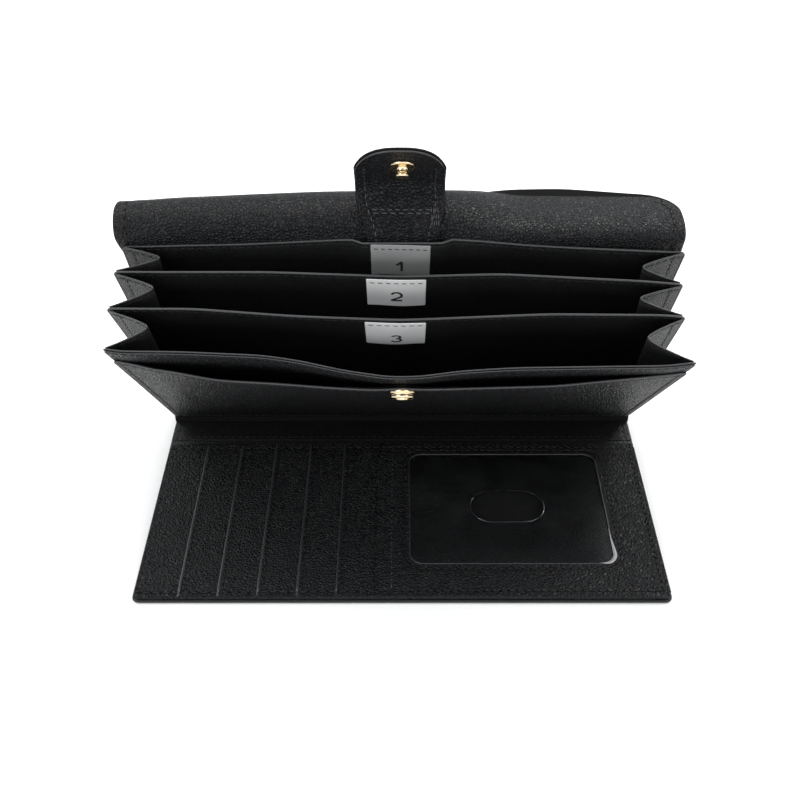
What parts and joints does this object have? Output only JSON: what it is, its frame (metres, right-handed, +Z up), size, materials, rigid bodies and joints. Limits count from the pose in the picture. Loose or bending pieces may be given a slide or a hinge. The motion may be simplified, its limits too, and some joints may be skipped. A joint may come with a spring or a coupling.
{
  "type": "coupon organizer wallet",
  "caption": "Black leather coupon organizer wallet, lying open: card pockets and an ID window on the cover, a labelled accordion body with gussets, and a snap tab on a top flap.",
  "frame": {"origin": "centre of the cover's underside, on the surface that the wallet lies on", "axes": "X along the wallet's long side, to the right as seen from the cover; Y from the cover's near edge to the back; Z up"},
  "size_m": [0.205, 0.1203, 0.1584],
  "materials": {
    "outer_leather": "pebbled black leather with a low sheen",
    "inner_leather": "pebbled black leather, thin, turned at its edges",
    "lining": "smooth black lining",
    "gold_metal": "polished pale gold plating",
    "clear_sheet": "clear flexible sheet, glossy",
    "label_ribbon": "light grey satin ribbon"
  },
  "bodies": {
    "cover": {"cover_shell": "outer_leather", "cover_lining": "inner_leather", "card_pocket_1": "inner_leather", "card_pocket_2": "inner_leather", "card_pocket_3": "inner_leather", "card_pocket_4": "inner_leather", "card_pocket_5": "inner_leather", "id_window_panel": "inner_leather", "id_window_vinyl": "clear_sheet"},
    "spine": {"spine_shell": "outer_leather", "spine_lining": "lining"},
    "back": {"back_shell": "outer_leather", "back_inner_wall": "inner_leather", "accordion_base": "lining", "pocket_label_1": "label_ribbon"},
    "divider_1": {"divider_1": "inner_leather", "pocket_label_2": "label_ribbon"},
    "divider_2": {"divider_2": "inner_leather", "pocket_label_3": "label_ribbon"},
    "front": {"front_panel": "outer_leather", "front_slip_pocket": "outer_leather", "snap_socket": "gold_metal", "socket_eyelet": "gold_metal"},
    "flap": {"flap_shell": "outer_leather", "flap_facing": "inner_leather", "tab_base": "outer_leather"},
    "tab": {"tab_outer": "outer_leather", "tab_facing": "inner_leather", "snap_stud": "gold_metal", "snap_cap": "gold_metal"},
    "gusset_left_1_rear": {"gusset_left_1_rear": "inner_leather"},
    "gusset_left_1_front": {"gusset_left_1_front": "inner_leather"},
    "gusset_left_2_rear": {"gusset_left_2_rear": "inner_leather"},
    "gusset_left_2_front": {"gusset_left_2_front": "inner_leather"},
    "gusset_left_3_rear": {"gusset_left_3_rear": "inner_leather"},
    "gusset_left_3_front": {"gusset_left_3_front": "inner_leather"},
    "gusset_right_1_rear": {"gusset_right_1_rear": "inner_leather"},
    "gusset_right_1_front": {"gusset_right_1_front": "inner_leather"},
    "gusset_right_2_rear": {"gusset_right_2_rear": "inner_leather"},
    "gusset_right_2_front": {"gusset_right_2_front": "inner_leather"},
    "gusset_right_3_rear": {"gusset_right_3_rear": "inner_leather"},
    "gusset_right_3_front": {"gusset_right_3_front": "inner_leather"}
  },
  "joints": [
    {"name": "cover_fold", "type": "hinge", "parent": "cover", "child": "spine", "pos_m": [0, 0.0468, 0.0006], "axis": [1, 0, 0], "range_deg": [0, 98.2]},
    {"name": "back_fold", "type": "hinge", "parent": "spine", "child": "back", "pos_m": [0, 0.0746, 0.0006], "axis": [1, 0, 0], "range_deg": [-20.6, 0]},
    {"name": "divider_1_fold", "type": "hinge", "parent": "back", "child": "divider_1", "pos_m": [0, 0.06832, 0.0056], "axis": [1, 0, 0], "range_deg": [-5.8, 0]},
    {"name": "divider_2_fold", "type": "hinge", "parent": "back", "child": "divider_2", "pos_m": [0, 0.06562, 0.0056], "axis": [1, 0, 0], "range_deg": [-13.8, 0]},
    {"name": "front_fold", "type": "hinge", "parent": "back", "child": "front", "pos_m": [0, 0.06292, 0.0056], "axis": [1, 0, 0], "range_deg": [-24.4, 0]},
    {"name": "gusset_left_1_rear_fold", "type": "hinge", "parent": "back", "child": "gusset_left_1_rear", "pos_m": [-0.101, 0.05129, 0.05702], "axis": [0, -0.3518, 0.9361], "range_deg": [0, 21.23]},
    {"name": "gusset_left_1_front_fold", "type": "hinge", "parent": "divider_1", "child": "gusset_left_1_front", "pos_m": [-0.101, 0.04452, 0.05547], "axis": [0, 0.4446, -0.8957], "range_deg": [0, 21.23]},
    {"name": "gusset_left_2_rear_fold", "type": "hinge", "parent": "divider_1", "child": "gusset_left_2_rear", "pos_m": [-0.101, 0.043, 0.05471], "axis": [0, -0.4446, 0.8957], "range_deg": [0, 26.68]},
    {"name": "gusset_left_2_front_fold", "type": "hinge", "parent": "divider_2", "child": "gusset_left_2_front", "pos_m": [-0.101, 0.03511, 0.05167], "axis": [0, 0.565, -0.8251], "range_deg": [0, 26.68]},
    {"name": "gusset_left_3_rear_fold", "type": "hinge", "parent": "divider_2", "child": "gusset_left_3_rear", "pos_m": [-0.101, 0.03371, 0.05071], "axis": [0, -0.565, 0.8251], "range_deg": [0, 33]},
    {"name": "gusset_left_3_front_fold", "type": "hinge", "parent": "front", "child": "gusset_left_3_front", "pos_m": [-0.101, 0.02453, 0.04534], "axis": [0, 0.7071, -0.7071], "range_deg": [0, 33]},
    {"name": "gusset_right_1_rear_fold", "type": "hinge", "parent": "back", "child": "gusset_right_1_rear", "pos_m": [0.101, 0.05129, 0.05702], "axis": [0, 0.3518, -0.9361], "range_deg": [0, 21.23]},
    {"name": "gusset_right_1_front_fold", "type": "hinge", "parent": "divider_1", "child": "gusset_right_1_front", "pos_m": [0.101, 0.04452, 0.05547], "axis": [0, -0.4446, 0.8957], "range_deg": [0, 21.23]},
    {"name": "gusset_right_2_rear_fold", "type": "hinge", "parent": "divider_1", "child": "gusset_right_2_rear", "pos_m": [0.101, 0.043, 0.05471], "axis": [0, 0.4446, -0.8957], "range_deg": [0, 26.68]},
    {"name": "gusset_right_2_front_fold", "type": "hinge", "parent": "divider_2", "child": "gusset_right_2_front", "pos_m": [0.101, 0.03511, 0.05167], "axis": [0, -0.565, 0.8251], "range_deg": [0, 26.68]},
    {"name": "gusset_right_3_rear_fold", "type": "hinge", "parent": "divider_2", "child": "gusset_right_3_rear", "pos_m": [0.101, 0.03371, 0.05071], "axis": [0, 0.565, -0.8251], "range_deg": [0, 33]},
    {"name": "gusset_right_3_front_fold", "type": "hinge", "parent": "front", "child": "gusset_right_3_front", "pos_m": [0.101, 0.02453, 0.04534], "axis": [0, -0.7071, 0.7071], "range_deg": [0, 33]},
    {"name": "flap_fold", "type": "hinge", "parent": "back", "child": "flap", "pos_m": [0, 0.03103, 0.11653], "axis": [1, 0, 0], "range_deg": [0, 148]},
    {"name": "tab_fold", "type": "hinge", "parent": "flap", "child": "tab", "pos_m": [0, 0.0398, 0.13122], "axis": [1, 0, 0], "range_deg": [-80, 13]}
  ],
  "couplings": [
    {"joint": "back_fold", "follows": "cover_fold", "ratio": -0.20978},
    {"joint": "divider_1_fold", "follows": "cover_fold", "ratio": -0.059063},
    {"joint": "divider_2_fold", "follows": "cover_fold", "ratio": -0.14053},
    {"joint": "front_fold", "follows": "cover_fold", "ratio": -0.24847},
    {"joint": "gusset_left_1_rear_fold", "follows": "cover_fold", "ratio": 0.21617},
    {"joint": "gusset_left_1_front_fold", "follows": "cover_fold", "ratio": 0.21617},
    {"joint": "gusset_left_2_rear_fold", "follows": "cover_fold", "ratio": 0.27172},
    {"joint": "gusset_left_2_front_fold", "follows": "cover_fold", "ratio": 0.27172},
    {"joint": "gusset_left_3_rear_fold", "follows": "cover_fold", "ratio": 0.33602},
    {"joint": "gusset_left_3_front_fold", "follows": "cover_fold", "ratio": 0.33602},
    {"joint": "gusset_right_1_rear_fold", "follows": "cover_fold", "ratio": 0.21617},
    {"joint": "gusset_right_1_front_fold", "follows": "cover_fold", "ratio": 0.21617},
    {"joint": "gusset_right_2_rear_fold", "follows": "cover_fold", "ratio": 0.27172},
    {"joint": "gusset_right_2_front_fold", "follows": "cover_fold", "ratio": 0.27172},
    {"joint": "gusset_right_3_rear_fold", "follows": "cover_fold", "ratio": 0.33602},
    {"joint": "gusset_right_3_front_fold", "follows": "cover_fold", "ratio": 0.33602},
    {"joint": "flap_fold", "follows": "cover_fold", "ratio": 1.5071}
  ]
}
